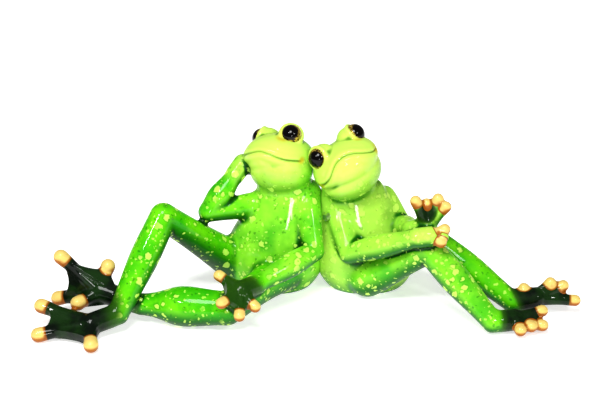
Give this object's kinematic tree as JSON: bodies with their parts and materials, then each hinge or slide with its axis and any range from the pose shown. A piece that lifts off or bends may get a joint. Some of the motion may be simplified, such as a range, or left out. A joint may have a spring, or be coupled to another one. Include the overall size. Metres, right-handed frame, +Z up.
{
  "type": "frog figurine",
  "caption": "Glossy painted resin shelf ornament: a pair of green frogs sit side by side with legs stretched out and heads leaning together.",
  "frame": {"origin": "middle of the footprint, on the floor that the figurine sits on", "axes": "+X along the pair from the lounging frog to the sitting frog, +Y towards their backs, +Z up"},
  "size_m": [0.2488, 0.0886, 0.0819],
  "materials": {
    "green_lacquer": "gloss lacquer over sprayed green with pale speckles",
    "dark_green_lacquer": "gloss lacquer over dark green with gold tips",
    "black_eye": "high gloss black with a gold flecked ring",
    "steel": "plain drawn wire"
  },
  "bodies": {
    "root": {"lounger_torso": "green_lacquer", "lounger_head": "green_lacquer", "lounger_cheek_arm": "green_lacquer", "lounger_knee_arm": "green_lacquer", "lounger_raised_leg": "green_lacquer", "lounger_flat_leg": "green_lacquer", "lounger_cheek_hand": "green_lacquer", "lounger_knee_hand": "dark_green_lacquer", "lounger_raised_foot": "dark_green_lacquer", "lounger_flat_foot": "dark_green_lacquer", "lounger_left_eye": "black_eye", "lounger_right_eye": "black_eye", "lounger_dowels": "steel", "sitter_torso": "green_lacquer", "sitter_head": "green_lacquer", "sitter_near_arm": "green_lacquer", "sitter_far_arm": "green_lacquer", "sitter_near_leg": "green_lacquer", "sitter_far_leg": "green_lacquer", "sitter_near_hand": "dark_green_lacquer", "sitter_far_hand": "dark_green_lacquer", "sitter_near_foot": "dark_green_lacquer", "sitter_far_foot": "dark_green_lacquer", "sitter_left_eye": "black_eye", "sitter_right_eye": "black_eye", "sitter_dowels": "steel", "flank_dowels": "steel"}
  },
  "joints": []
}
